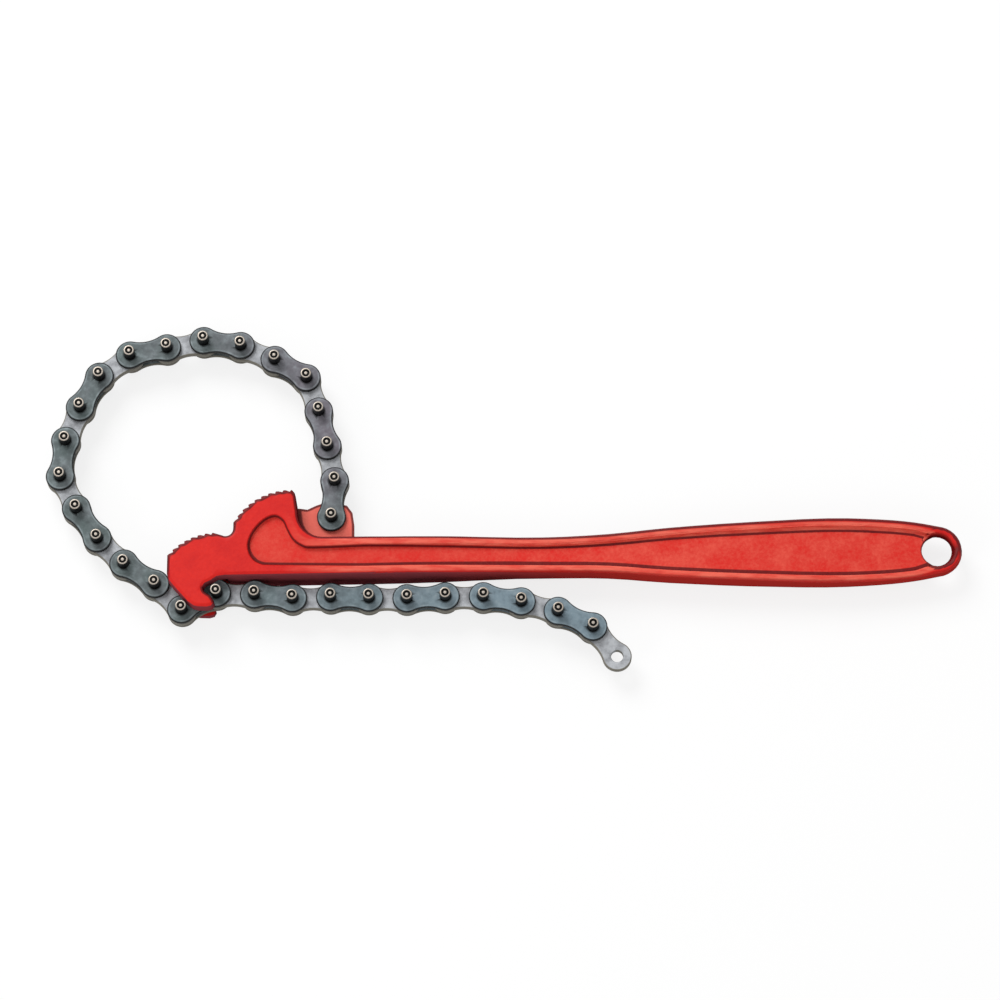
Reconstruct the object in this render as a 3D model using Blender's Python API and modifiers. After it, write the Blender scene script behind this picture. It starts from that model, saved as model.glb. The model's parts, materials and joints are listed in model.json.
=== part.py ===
"""Chain pipe wrench: a forged handle with a forked, toothed head and a riveted link chain.

The wrench lies flat. The chain is anchored in the lug behind the head, goes once round
the place of the pipe and passes between the two cheeks of the head, where one pin stands
in the hook. The rest of the chain lies along the handle. Plan outlines below are given
from the centre of the lug's pin, with the handle running along +X. The finished wrench is
centred on the middle of its own box, with its lowest faces at height zero.
"""

import math

import bmesh
import bpy
import numpy as np
from mathutils import Matrix

MM = 0.001

# Chain sizes
PITCH = 14.4 * MM
PLATE_END_RADIUS = 5.5 * MM
PLATE_WAIST = 8.1 * MM
OUTER_PLATE_THICKNESS = 1.5 * MM
INNER_PLATE_THICKNESS = 2.7 * MM
PLATE_SIDE_GAP = 0.25 * MM
PIN_RADIUS = 2.05 * MM
PIN_CHAMFER = 0.35 * MM
BORE_CLEARANCE = 0.25 * MM

# Directions of the links from the lug to the free end, in degrees from +X
LOOP_DIRECTIONS = (
    86, 102, 104, 110, 149, 157, 172, 192, 192, 217,
    241, 249, 264, 297, 305, 316, 326, 316, 386,
)
TAIL_DIRECTIONS = (-2, -6, 2, -1, -1, 3, 0, -8, -15, -25, -51)

# Thickness of the forging: the head is as thick as the pins are long
HEAD_THICKNESS = 17.0 * MM
GRIP_THICKNESS = 10.5 * MM
END_THICKNESS = 7.0 * MM
HEAD_END_X = 16.0 * MM
GRIP_START_X = 84.0 * MM
END_TAPER_X = 160.0 * MM
EDGE_ROUND = 1.4 * MM

# Edges of the neck and grip: distance from the lug's pin, upper edge, lower edge
HANDLE_SECTIONS = MM * np.array((
    (-3.2, -9.2, -23.95),
    (22.0, -9.0, -23.5),
    (50.0, -8.5, -23.0),
    (80.0, -8.2, -22.7),
    (105.0, -6.7, -22.9),
    (128.0, -4.2, -24.6),
    (157.0, -2.0, -25.9),
    (188.0, -0.3, -26.5),
    (208.0, -0.6, -25.7),
    (221.0, -1.7, -24.3),
))
FLANGE_UPPER = 3.6 * MM
FLANGE_LOWER = 3.0 * MM
FLANGE_START_X = 12.0 * MM
RECESS_DEPTH = 2.0 * MM
RECESS_ROUND = 0.6 * MM

# Hang hole in the grip's round end
HANG_HOLE = (229.5 * MM, -12.95 * MM)
HANG_HOLE_RADIUS = 5.7 * MM
HANG_RING_WIDTH = 3.9 * MM
HOLE_MOUTH_WIDTH = 1.1 * MM
GRIP_END_SPAN = (-84.0, 76.0)
RECESS_END_SPAN = (-80.0, 80.0)

# Toothed jaws: two arcs side by side, with one smooth valley between
JAW_CORNER = (-15.0 * MM, 9.4 * MM)
UPPER_JAW_RADIUS = 24.2 * MM
LOWER_JAW_RADIUS = 23.2 * MM
VALLEY_CENTRE = (-39.8 * MM, -6.0 * MM)
VALLEY_RADIUS = 2.95 * MM
VALLEY_SPAN = (0.0, -96.0)
VALLEY_WALL = 2.5 * MM
VALLEY_RUN_OUT = (-4.7 * MM, -1.6 * MM)
UPPER_TEETH = 9
LOWER_TEETH = 7
TOOTH_DEPTH = 1.1 * MM
TOOTH_FACE_SHARE = 0.22

# Back of the head, above the neck
BACK_FILLET_RADIUS = 9.3 * MM
BACK_CORNER = MM * np.array(((-13.4, 6.6), (-13.9, 8.2)))

# Nose and hook, from the centre of the hooked pin
TAIL_GAP = 0.55 * MM
HOOKED_PIN_X = -43.0 * MM
NOTCH_CLEARANCE = 0.1 * MM
NOTCH_OFFSET = (-2.5 * MM, 0.5 * MM)
NOTCH_SPAN = (225.0, 130.0)
HOOK_LIP = MM * np.array(((-1.9, -2.4), (-0.6, -4.3), (-0.4, -5.3)))
HOOK_TIP = MM * np.array(((-1.2, -6.7), (-3.0, -7.2), (-6.6, -7.1), (-8.2, -6.7), (-10.5, -5.0)))
NOSE_EDGE = MM * np.array(((-16.4, 1.6), (-17.9, 3.6), (-18.5, 6.3), (-18.5, 13.5)))
NOTCH_MOUTH = MM * np.array(((-1.7, 3.3), (0.5, 4.8), (3.4, 5.25)))

# Slot between the cheeks, cut with a round milling cutter
SLOT_SIDE_CLEARANCE = 0.4 * MM
SLOT_CUTTER_RADIUS = 16.5 * MM
SLOT_CUTTER_OFFSET = (-10.4 * MM, -2.0 * MM)

# Recess in the head, a lobe that runs on into the neck's recess
LOBE_POINTS = MM * np.array((
    (-6.0, -13.5),
    (-10.4, -12.9),
    (-14.0, -10.4),
    (-16.4, -6.3),
    (-18.0, -2.9),
    (-21.2, -1.1),
    (-25.4, -2.9),
    (-29.3, -7.4),
    (-31.1, -12.6),
    (-29.8, -17.3),
    (-26.4, -19.9),
    (-20.0, -20.4),
))

# Lug that carries the first pin
LUG_OUTLINE = MM * np.array((
    (8.7, -11.0),
    (8.6, -2.4),
    (7.9, 2.0),
    (5.8, 4.9),
    (2.6, 5.7),
    (-3.8, 5.7),
    (-6.2, 4.8),
    (-9.2, 3.3),
    (-12.0, 3.7),
    (-15.0, 3.7),
    (-15.0, -11.0),
))

# How finely round shapes are drawn
PIN_SIDES = 12
HANG_HOLE_SIDES = 24
HOLE_WALL_STEPS = 4
SLOT_SIDES = 48
ARC_STEP = 11.0
JAW_STEP = 5.0
SMALL_ARC_STEP = 16.0
PLATE_END_STEP = 29.0
CURVE_SPANS = 3
TAPER_STATIONS = 6
END_TAPER_STATIONS = 4
CLOSING_STEPS = 8
SHARP_ANGLE = 35.0
BEVEL_ANGLE = 50.0
WELD_DISTANCE = 0.001 * MM


def moved(points, origin):
    """Plan points that are given from a place of their own."""
    return [(x + origin[0], y + origin[1]) for x, y in points]


def polar(centre, radius, degrees):
    """The point at a radius and an angle about a centre."""
    angle = math.radians(degrees)
    return centre[0] + radius * math.cos(angle), centre[1] + radius * math.sin(angle)


def arc(centre, radius, start, end, step=ARC_STEP):
    """Points along a round stretch, with both ends, angles in degrees."""
    count = max(2, round(abs(end - start) / step))
    return [polar(centre, radius, angle) for angle in np.linspace(start, end, count + 1)]


def smooth(points, per_span=CURVE_SPANS):
    """A smooth open line through the points, which are kept."""
    knots = np.array(points, dtype=float)
    knots = np.vstack((2 * knots[0] - knots[1], knots, 2 * knots[-1] - knots[-2]))
    line = []
    for before, start, end, after in zip(knots, knots[1:], knots[2:], knots[3:]):
        for t in np.arange(per_span) / per_span:
            swing = (end - before) * t + (2 * before - 5 * start + 4 * end - after) * t**2
            turn = (3 * start - before - 3 * end + after) * t**3
            line.append(tuple(start + 0.5 * (swing + turn)))
    return line + [tuple(knots[-2])]


def eased(x, start, end):
    """From 0 at the start to 1 at the end, level at both."""
    share = min(max((x - start) / (end - start), 0.0), 1.0)
    return share * share * (3.0 - 2.0 * share)


def handle_thickness(x):
    """Thickness of the forging, which thins from the head to the grip, and again to its end."""
    neck = (GRIP_THICKNESS - HEAD_THICKNESS) * eased(x, HEAD_END_X, GRIP_START_X)
    end = (END_THICKNESS - GRIP_THICKNESS) * eased(x, END_TAPER_X, HANG_HOLE[0])
    return HEAD_THICKNESS + neck + end


def web_thickness(x):
    """Thickness that is left between the two recesses."""
    return handle_thickness(x) - 2 * RECESS_DEPTH


def hooked_pin():
    """Centre of the pin that stands in the hook, with the tail just clear of the neck."""
    lower_edge = HANDLE_SECTIONS[0][2]
    return HOOKED_PIN_X, lower_edge - PLATE_END_RADIUS - TAIL_GAP


def loop_directions():
    """Directions of the loop's links, turned slightly so that the hooked pin meets its place."""
    angles = np.radians(LOOP_DIRECTIONS)
    target = np.array(hooked_pin())
    for _ in range(CLOSING_STEPS):
        runs = PITCH * np.column_stack((np.cos(angles), np.sin(angles)))
        turns = np.column_stack((-runs[:, 1], runs[:, 0]))
        angles += np.linalg.pinv(turns.T) @ (target - runs.sum(axis=0))
    return angles


def chain_lay():
    """Centres of all pins in plan, with the free end's eye last, and each link's direction."""
    angles = np.concatenate((loop_directions(), np.radians(TAIL_DIRECTIONS)))
    runs = PITCH * np.column_stack((np.cos(angles), np.sin(angles)))
    return np.vstack((np.zeros(2), np.cumsum(runs, axis=0))), angles


def grip_end():
    """How far the forging reaches from the lug's pin."""
    return HANG_HOLE[0] + HANG_HOLE_RADIUS + HANG_RING_WIDTH


def box_middle(pins):
    """Middle of the wrench's box in plan, measured from the lug's pin."""
    low = pins.min(axis=0) - PLATE_END_RADIUS
    high = pins.max(axis=0) + PLATE_END_RADIUS
    return (low[0] + max(high[0], grip_end())) / 2, (low[1] + high[1]) / 2


def clear_scene():
    for item in list(bpy.data.objects):
        bpy.data.objects.remove(item, do_unlink=True)


def new_collection(name):
    group = bpy.data.collections.new(name)
    bpy.context.scene.collection.children.link(group)
    return group


def paint(name, colour, roughness, metallic):
    """A plain material in the part's own colour."""
    material = bpy.data.materials.new(name)
    material.use_nodes = True
    shader = material.node_tree.nodes["Principled BSDF"]
    shader.inputs["Base Color"].default_value = (*colour, 1.0)
    shader.inputs["Roughness"].default_value = roughness
    shader.inputs["Metallic"].default_value = metallic
    return material


def tidy_mesh(mesh):
    """Joins the loose caps to the sides and turns all faces outwards."""
    shape = bmesh.new()
    shape.from_mesh(mesh)
    bmesh.ops.remove_doubles(shape, verts=shape.verts, dist=WELD_DISTANCE)
    bmesh.ops.recalc_face_normals(shape, faces=shape.faces)
    shape.to_mesh(mesh)
    shape.free()


def flat_mesh(name, loops, thickness):
    """A flat plate from an outer line and the lines of its holes, middle at height zero."""
    curve = bpy.data.curves.new(name, "CURVE")
    curve.dimensions = "2D"
    curve.fill_mode = "BOTH"
    curve.extrude = thickness / 2
    for loop in loops:
        spline = curve.splines.new("POLY")
        spline.points.add(len(loop) - 1)
        spline.use_cyclic_u = True
        for point, (x, y) in zip(spline.points, loop):
            point.co = (x, y, 0.0, 1.0)
    guide = bpy.data.objects.new(name, curve)
    bpy.context.scene.collection.objects.link(guide)
    bpy.context.view_layer.update()
    evaluated = guide.evaluated_get(bpy.context.evaluated_depsgraph_get())
    mesh = bpy.data.meshes.new_from_object(evaluated)
    bpy.data.objects.remove(guide, do_unlink=True)
    bpy.data.curves.remove(curve)
    tidy_mesh(mesh)
    mesh.shade_flat()
    mesh.name = name
    return mesh


def merge_flats(mesh):
    """Makes one face of each flat side, so that a bevel follows the outline alone."""
    shape = bmesh.new()
    shape.from_mesh(mesh)
    bmesh.ops.dissolve_limit(
        shape, angle_limit=math.radians(0.5), verts=shape.verts, edges=shape.edges
    )
    shape.to_mesh(mesh)
    shape.free()
    return mesh


def side_mesh(name, thickness_at, stations):
    """A solid with the given thickness along X, wide enough to cover the whole plan."""
    upper = [(x, thickness_at(x) / 2) for x in stations]
    lower = [(x, -z) for x, z in reversed(upper)]
    mesh = flat_mesh(name, [lower + upper], 2 * stations[-1])
    mesh.transform(Matrix.Rotation(math.pi / 2, 4, "X"))
    return merge_flats(mesh)


def round_mesh(name, radius, depth, sides):
    """A plain cylinder about the Z axis, middle at height zero."""
    shape = bmesh.new()
    bmesh.ops.create_cone(
        shape, cap_ends=True, segments=sides, radius1=radius, radius2=radius, depth=depth
    )
    mesh = bpy.data.meshes.new(name)
    shape.to_mesh(mesh)
    shape.free()
    return mesh


def place(mesh, group, material=None, name=None, location=(0, 0, 0), turn=0.0, parent=None):
    """Adds one object to a collection."""
    item = bpy.data.objects.new(name or mesh.name, mesh)
    group.objects.link(item)
    item.location = location
    item.rotation_euler.z = turn
    item.parent = parent
    if material and not mesh.materials:
        mesh.materials.append(material)
    return item


def place_cutter(mesh, group, parent, location=(0, 0, 0)):
    """Adds a shape that only cuts or joins, hidden from the finished wrench."""
    item = place(mesh, group, location=location, parent=parent)
    item.hide_render = True
    item.display_type = "WIRE"
    return item


def combine(item, other, operation):
    step = item.modifiers.new(f"{operation.lower()} {other.name}", "BOOLEAN")
    step.operation = operation
    step.object = other
    step.solver = "EXACT"


def round_edges(item, width, segments):
    step = item.modifiers.new("rounded edges", "BEVEL")
    step.limit_method = "ANGLE"
    step.angle_limit = math.radians(BEVEL_ANGLE)
    step.width = width
    step.segments = segments
    step.use_clamp_overlap = True


def shade_round(mesh):
    mesh.shade_smooth()
    mesh.set_sharp_from_angle(angle=math.radians(SHARP_ANGLE))


def edge_lines():
    """Upper and lower edge of the neck and grip, both from the head to the grip's end."""
    upper = [(x, top) for x, top, _ in HANDLE_SECTIONS]
    lower = [(x, bottom) for x, _, bottom in HANDLE_SECTIONS]
    end_radius = HANG_HOLE_RADIUS + HANG_RING_WIDTH
    round_end = arc(HANG_HOLE, end_radius, *GRIP_END_SPAN)
    upper = smooth(upper + [round_end[-1]])
    lower = smooth(lower + [round_end[0]])
    return upper, lower, round_end


def jaw_circle(first, last, radius):
    """Centre of the circle through both ends of a jaw's teeth, and the angles of the ends."""
    first, last = np.array(first), np.array(last)
    chord = last - first
    length = math.hypot(*chord)
    inwards = np.array((-chord[1], chord[0])) / length
    centre = (first + last) / 2 + inwards * math.sqrt(radius**2 - length**2 / 4)
    return centre, [math.degrees(math.atan2(y, x)) for x, y in (first - centre, last - centre)]


def upper_jaw():
    """The upper jaw's teeth run from the head's top corner to the valley's wall."""
    last = (VALLEY_CENTRE[0] + VALLEY_RADIUS, VALLEY_CENTRE[1] + VALLEY_WALL)
    centre, span = jaw_circle(JAW_CORNER, last, UPPER_JAW_RADIUS)
    return centre, UPPER_JAW_RADIUS, span


def lower_jaw():
    """The lower jaw's teeth run from the end of the valley's run-out to the top of the nose."""
    first = moved([VALLEY_RUN_OUT], VALLEY_CENTRE)[0]
    last = moved([NOSE_EDGE[-1]], hooked_pin())[0]
    centre, span = jaw_circle(first, last, LOWER_JAW_RADIUS)
    return centre, LOWER_JAW_RADIUS, span


def back_fillet(neck_corner):
    """A quarter turn from the top edge of the neck up to the back of the head."""
    centre = (neck_corner[0], neck_corner[1] + BACK_FILLET_RADIUS)
    return arc(centre, BACK_FILLET_RADIUS, 270.0, 180.0)[1:]


def head_outline():
    """Plan of the whole forging without its lug, anticlockwise from the mouth of the notch."""
    upper, lower, round_end = edge_lines()
    pin = hooked_pin()
    notch_centre = (pin[0] + NOTCH_OFFSET[0], pin[1] + NOTCH_OFFSET[1])
    notch_radius = PIN_RADIUS + NOTCH_CLEARANCE
    line = lower + round_end[1:-1] + upper[::-1]
    line += back_fillet(upper[0])
    line += list(BACK_CORNER)
    centre, radius, span = upper_jaw()
    line += arc(centre, radius, *span, step=JAW_STEP)
    line += arc(VALLEY_CENTRE, VALLEY_RADIUS, *VALLEY_SPAN, step=SMALL_ARC_STEP)
    centre, radius, span = lower_jaw()
    line += arc(centre, radius, *span, step=JAW_STEP)
    line += moved(reversed(NOSE_EDGE[:-1]), pin)
    line += moved(reversed(HOOK_TIP), pin)
    line += moved(reversed(HOOK_LIP), pin)
    line += arc(notch_centre, notch_radius, *NOTCH_SPAN, step=SMALL_ARC_STEP)
    line += moved(NOTCH_MOUTH, pin)
    return line


def recess_outline():
    """Plan of the recess: the lobe in the head, the neck and grip, into the hang hole."""
    upper, lower, _ = edge_lines()
    start = FLANGE_START_X
    end = HANG_HOLE[0] - HANG_HOLE_RADIUS
    top = [(x, y - FLANGE_UPPER) for x, y in upper if start < x < end]
    bottom = [(x, y + FLANGE_LOWER) for x, y in lower if start < x < end]
    end_radius = HANG_HOLE_RADIUS - RECESS_ROUND
    inner_end = arc(HANG_HOLE, end_radius, *RECESS_END_SPAN, step=SMALL_ARC_STEP)
    lobe = smooth([top[0], *LOBE_POINTS, bottom[0]])
    return bottom[1:] + inner_end + top[::-1] + lobe[1:]


def tooth_line(centre, radius, span, count):
    """Saw teeth along a jaw: a steep face up to each tip, then a gentle back."""
    start, end = span[1], span[0]
    step = (end - start) / count
    line = []
    for index in range(count):
        tip = start + index * step
        foot = tip + step * (1.0 - TOOTH_FACE_SHARE)
        line.append(polar(centre, radius, tip))
        line.append(polar(centre, radius - TOOTH_DEPTH, foot))
    line.append(polar(centre, radius, end))
    return line


def tooth_cutter(name, centre, radius, span, count):
    """The waste outside a jaw's teeth."""
    inner = tooth_line(centre, radius, span, count)
    outer = arc(centre, radius + 2 * EDGE_ROUND, *span)
    return flat_mesh(name, [inner + outer], 2 * HEAD_THICKNESS)


def build_handle(group, cutters, parent, paint_red):
    """The forging: head with jaws and forked hook, lug, recessed neck and grip, hang hole."""
    reach = 2 * grip_end()
    neck = np.linspace(HEAD_END_X, GRIP_START_X, TAPER_STATIONS)
    end = np.linspace(END_TAPER_X, HANG_HOLE[0], END_TAPER_STATIONS)
    stations = [-reach, *neck, *end, reach]

    body = flat_mesh("handle", [head_outline()], 2 * HEAD_THICKNESS)
    handle = place(merge_flats(body), group, paint_red, parent=parent)

    envelope = side_mesh("thickness of the forging", handle_thickness, stations)
    combine(handle, place_cutter(envelope, cutters, parent), "INTERSECT")
    round_edges(handle, EDGE_ROUND, 2)

    pocket = flat_mesh("recess in both faces", [recess_outline()], 2 * HEAD_THICKNESS)
    recess = place_cutter(merge_flats(pocket), cutters, parent)
    web = side_mesh("web left between the recesses", web_thickness, stations)
    combine(recess, place_cutter(web, cutters, parent), "DIFFERENCE")
    combine(handle, recess, "DIFFERENCE")
    round_edges(handle, RECESS_ROUND, 1)

    upper = tooth_cutter("upper jaw gullets", *upper_jaw(), UPPER_TEETH)
    lower = tooth_cutter("lower jaw gullets", *lower_jaw(), LOWER_TEETH)
    combine(handle, place_cutter(upper, cutters, parent), "DIFFERENCE")
    combine(handle, place_cutter(lower, cutters, parent), "DIFFERENCE")

    pin = hooked_pin()
    slot = round_mesh(
        "slot between the cheeks", SLOT_CUTTER_RADIUS, slot_width(), SLOT_SIDES
    )
    slot_place = (pin[0] + SLOT_CUTTER_OFFSET[0], pin[1] + SLOT_CUTTER_OFFSET[1], 0)
    combine(handle, place_cutter(slot, cutters, parent, slot_place), "DIFFERENCE")

    hole = place_cutter(hang_hole_mesh(), cutters, parent, (*HANG_HOLE, 0))
    turn_profile(hole, HANG_HOLE_SIDES)
    combine(handle, hole, "DIFFERENCE")

    lug = flat_mesh("lug", [LUG_OUTLINE], INNER_PLATE_THICKNESS)
    combine(handle, place_cutter(merge_flats(lug), cutters, parent), "UNION")
    bore = round_mesh("lug bore", PIN_RADIUS + BORE_CLEARANCE, HEAD_THICKNESS, PIN_SIDES)
    combine(handle, place_cutter(bore, cutters, parent), "DIFFERENCE")
    return handle


def slot_width():
    """Room between the cheeks: two outer plates, the inner plate and all clearances."""
    plates = INNER_PLATE_THICKNESS + 2 * OUTER_PLATE_THICKNESS
    return plates + 2 * PLATE_SIDE_GAP + 2 * SLOT_SIDE_CLEARANCE


def plate_outline():
    """A waisted link plate, its first pin at the origin and the next one at the pitch."""
    half = PITCH / 2
    waist = PLATE_WAIST / 2
    hollow = (half**2 + waist**2 - PLATE_END_RADIUS**2) / (2 * (PLATE_END_RADIUS - waist))
    tangent = math.degrees(math.atan2(waist + hollow, -half))
    swing = tangent - 90.0
    upper, lower = (half, waist + hollow), (half, -waist - hollow)
    step = PLATE_END_STEP
    line = arc((PITCH, 0), PLATE_END_RADIUS, -tangent, tangent, step)
    line += arc(upper, hollow, swing - 90, -swing - 90, SMALL_ARC_STEP)[1:-1]
    line += arc((0, 0), PLATE_END_RADIUS, 180 - tangent, 180 + tangent, step)
    line += arc(lower, hollow, swing + 90, 90 - swing, SMALL_ARC_STEP)[1:-1]
    return line


def plate_mesh(name, thickness, bored=True):
    radius = PIN_RADIUS + BORE_CLEARANCE
    step = 360.0 / PIN_SIDES
    holes = [arc((x, 0), radius, 0, 360 - step, step) for x in (0, PITCH)]
    return flat_mesh(name, [plate_outline()] + (holes if bored else []), thickness)


def profile_mesh(name, profile):
    """A line of radius and height, top to bottom, to be turned about the Z axis."""
    shape = bmesh.new()
    ring = [shape.verts.new((x, 0, z)) for x, z in profile]
    for upper, lower in zip(ring, ring[1:]):
        shape.edges.new((upper, lower))
    mesh = bpy.data.meshes.new(name)
    shape.to_mesh(mesh)
    shape.free()
    return mesh


def pin_mesh():
    """A riveted chain pin with a small chamfer at both ends."""
    half = HEAD_THICKNESS / 2
    return profile_mesh("pin", (
        (0, half),
        (PIN_RADIUS - PIN_CHAMFER, half),
        (PIN_RADIUS, half - PIN_CHAMFER),
        (PIN_RADIUS, PIN_CHAMFER - half),
        (PIN_RADIUS - PIN_CHAMFER, -half),
        (0, -half),
    ))


def hang_hole_mesh():
    """The hang hole, whose rounded wall widens towards both faces."""
    half = END_THICKNESS / 2
    mouth = HANG_HOLE_RADIUS + HOLE_MOUTH_WIDTH
    wall = [
        (mouth - HOLE_MOUTH_WIDTH * math.cos(angle), half * math.sin(angle))
        for angle in np.linspace(math.pi / 2, -math.pi / 2, HOLE_WALL_STEPS + 1)
    ]
    top = HEAD_THICKNESS
    return profile_mesh("hang hole", [(0, top), (mouth, top), *wall, (mouth, -top), (0, -top)])


def turn_profile(item, sides):
    step = item.modifiers.new("turned about its axis", "SCREW")
    step.axis = "Z"
    step.steps = sides
    step.render_steps = sides
    step.use_merge_vertices = True
    step.merge_threshold = WELD_DISTANCE


def build_chain(group, cutters, parent, steel_dark, steel_bright):
    """Outer links with two riveted pins each, and inner links of one thick plate."""
    pins, angles = chain_lay()
    level = INNER_PLATE_THICKNESS / 2 + PLATE_SIDE_GAP + OUTER_PLATE_THICKNESS / 2
    inner = plate_mesh("inner plate", INNER_PLATE_THICKNESS)
    front = plate_mesh("front plate", OUTER_PLATE_THICKNESS)
    rear = plate_mesh("rear plate", OUTER_PLATE_THICKNESS, bored=False)
    rivet = pin_mesh()

    guides = []
    for x in (0, PITCH):
        guide = place_cutter(rivet, cutters, parent, (x, 0, 0))
        turn_profile(guide, PIN_SIDES)
        guides.append(guide)
    source = place_cutter(rear, cutters, parent, (0, 0, -level))
    for guide in guides:
        combine(source, guide, "UNION")
    bpy.context.view_layer.update()
    evaluated = source.evaluated_get(bpy.context.evaluated_depsgraph_get())
    riveted = bpy.data.meshes.new_from_object(evaluated)
    riveted.name = "rear plate with its two pins"

    for mesh in (inner, front, riveted):
        shade_round(mesh)
    for number, (start, angle) in enumerate(zip(pins, angles), start=1):
        name = f"link_{number:02d}"
        hinge = bpy.data.objects.new(f"{name}_hinge", None)
        hinge.location = (*start, 0)
        hinge.rotation_euler.z = angle
        hinge.parent = parent
        group.objects.link(hinge)
        if number % 2:
            place(front, group, steel_dark, f"{name}_front_plate", (0, 0, level), parent=hinge)
            place(riveted, group, steel_dark, f"{name}_rear_plate", (0, 0, -level), parent=hinge)
        else:
            place(inner, group, steel_bright, f"{name}_inner_plate", parent=hinge)


def main():
    clear_scene()
    group = new_collection("chain pipe wrench")
    cutters = new_collection("cutters and guides")
    red = paint("red enamel", (0.62, 0.022, 0.016), 0.35, 0.0)
    steel_dark = paint("blued steel", (0.12, 0.145, 0.16), 0.42, 0.9)
    steel_bright = paint("bright steel", (0.5, 0.5, 0.52), 0.3, 1.0)

    pins, _ = chain_lay()
    middle = box_middle(pins)
    wrench = bpy.data.objects.new("wrench", None)
    wrench.location = (-middle[0], -middle[1], HEAD_THICKNESS / 2)
    group.objects.link(wrench)

    build_handle(group, cutters, wrench, red)
    build_chain(group, cutters, wrench, steel_dark, steel_bright)


main()
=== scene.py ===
import json
import math

import bpy
import numpy as np
from bpy.props import FloatProperty, FloatVectorProperty, PointerProperty
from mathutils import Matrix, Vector


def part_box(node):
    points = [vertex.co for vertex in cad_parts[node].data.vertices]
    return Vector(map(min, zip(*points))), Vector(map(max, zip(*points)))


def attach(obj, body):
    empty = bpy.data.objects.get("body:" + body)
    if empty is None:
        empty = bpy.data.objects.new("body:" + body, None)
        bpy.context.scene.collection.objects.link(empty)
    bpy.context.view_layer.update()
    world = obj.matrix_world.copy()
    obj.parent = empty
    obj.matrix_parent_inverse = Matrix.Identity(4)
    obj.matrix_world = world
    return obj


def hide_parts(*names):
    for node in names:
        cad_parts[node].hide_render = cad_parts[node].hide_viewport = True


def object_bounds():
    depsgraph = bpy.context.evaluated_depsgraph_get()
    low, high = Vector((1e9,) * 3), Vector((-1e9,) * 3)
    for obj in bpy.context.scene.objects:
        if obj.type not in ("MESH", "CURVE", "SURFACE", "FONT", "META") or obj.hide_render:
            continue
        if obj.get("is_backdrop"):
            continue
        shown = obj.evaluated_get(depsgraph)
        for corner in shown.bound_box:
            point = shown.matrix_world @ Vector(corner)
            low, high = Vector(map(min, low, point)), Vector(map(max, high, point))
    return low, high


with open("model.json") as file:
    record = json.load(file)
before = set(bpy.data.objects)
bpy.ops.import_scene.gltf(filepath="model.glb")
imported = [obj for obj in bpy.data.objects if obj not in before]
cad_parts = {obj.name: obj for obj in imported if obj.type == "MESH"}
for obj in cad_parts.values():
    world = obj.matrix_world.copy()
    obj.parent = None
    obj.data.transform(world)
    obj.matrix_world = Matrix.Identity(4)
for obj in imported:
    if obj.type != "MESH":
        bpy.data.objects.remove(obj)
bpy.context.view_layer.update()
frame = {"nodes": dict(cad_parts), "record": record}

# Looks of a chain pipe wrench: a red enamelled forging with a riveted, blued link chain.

bl_info = {
    "name": "Chain pipe wrench",
    "version": (1, 0, 0),
    "blender": (4, 5, 0),
    "location": "3D View > Sidebar > Chain wrench",
    "description": "Builds the enamelled forging and the riveted chain of a chain pipe wrench",
    "category": "Add Mesh",
}

MM = 0.001
JOINTS = frame["record"]["behaviour"]["joints"]
LINK_COUNT = len(JOINTS)
LUG_PIN = np.array(JOINTS[0]["pos_m"], dtype=float)
MIDDLE = LUG_PIN[2]

# How far points may be apart that are in one place, on a line, or near it
WELD_GAP = 0.001 * MM
ON_LINE = 0.02 * MM
NEAR_LINE = 0.1 * MM

# Measures that the CAD part's forging is made with. Places are counted from the lug's pin.
HEAD_END = LUG_PIN[0] + 16.0 * MM
GRIP_START = LUG_PIN[0] + 84.0 * MM
END_TAPER = LUG_PIN[0] + 160.0 * MM
NECK_STATIONS = 6
TAPER_STATIONS = 4
HANG_HOLE = LUG_PIN + np.array((229.5, -12.95, 0.0)) * MM
HANG_HOLE_RADIUS = 5.7 * MM
HEAD_HALF = 8.5 * MM
GRIP_HALF = 5.25 * MM
END_HALF = 3.5 * MM
CAD_ROUND = 1.4 * MM
RECESS_DEPTH = 2.0 * MM

# Places of the lug and of the teeth
LUG_PIN_REACH = 4.0 * MM
LUG_WALL_TOP = 1.4 * MM
LUG_TOP = 1.5 * MM
TEETH_END = LUG_PIN[0] - 14.5 * MM
TEETH_FOOT = LUG_PIN[1] - 14.0 * MM
TEETH_FACING = np.array((-0.6, 0.8, 0.0))

# Limits that tell the forging's rims, recess, walls and flats apart
PAST_RIM = CAD_ROUND + 0.2 * MM
PAST_RECESS = RECESS_DEPTH + 0.3 * MM
WALL_TILT = 0.4
FLAT_TILT = 0.985

# Fine shape of the forging: where along X the rims and the recess's foot grow round, the foot's
# radii, the rims' share of half the grip, the longest edges, and the widest turn round a rim
RIM_GROWTH = (LUG_PIN[0] + 40.0 * MM, LUG_PIN[0] + 115.0 * MM)
FOOT_GROWTH = (LUG_PIN[0] + 10.0 * MM, LUG_PIN[0] + 180.0 * MM)
UPPER_FOOT = 1.6 * MM
LOWER_FOOT = 0.75 * MM
GRIP_ROUND = 0.94
FINE_EDGE = 2.5 * MM
FOOT_EDGE = 0.9 * MM
RIM_STEP = 0.3

# Distances over which lines share in a direction, and the points measured at a time
LINE_BLEND = 0.05 * MM
BATCH = 2000

# Fine shape of the chain: the steps round a plate's half and round a pin, and the bores
WAIST_STEPS = 8
END_STEPS = 37
CUT_POINTS = 5
PIN_SIDES = 40
BORE_CHAMFER = 0.12 * MM
RIVET_GAP = 0.02 * MM

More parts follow.
